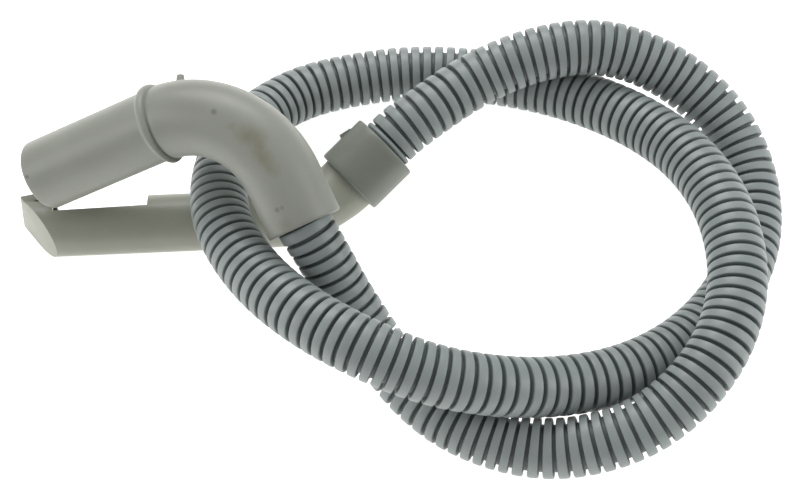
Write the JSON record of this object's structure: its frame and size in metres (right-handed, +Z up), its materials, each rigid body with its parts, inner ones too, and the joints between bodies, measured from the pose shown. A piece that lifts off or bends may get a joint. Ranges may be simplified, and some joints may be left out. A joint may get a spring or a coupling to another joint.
{
  "type": "condenser valve hose",
  "caption": "Corrugated drain hose lying in loops, with a bent elbow connector on one end and a sleeve with a long D-section valve nozzle on the other.",
  "frame": {"origin": "on the surface that the part lies on, under the middle of the box round the elbow, the nozzle and the sleeve, without the hose", "axes": "+Z up from the surface, +X along the nozzle's bar from its closed end towards the hose's loops, +Y towards the back of the layout"},
  "size_m": [0.3349, 0.2149, 0.0932],
  "materials": {
    "hose_plastic": "semi-matt blue-grey",
    "elbow_plastic": "semi-matt warm grey",
    "nozzle_plastic": "semi-matt greenish grey, slightly translucent",
    "sleeve_plastic": "semi-matt greenish grey"
  },
  "bodies": {
    "root": {"hose": "hose_plastic", "elbow_connector": "elbow_plastic", "valve_nozzle": "nozzle_plastic", "coupling_sleeve": "sleeve_plastic"}
  },
  "joints": []
}
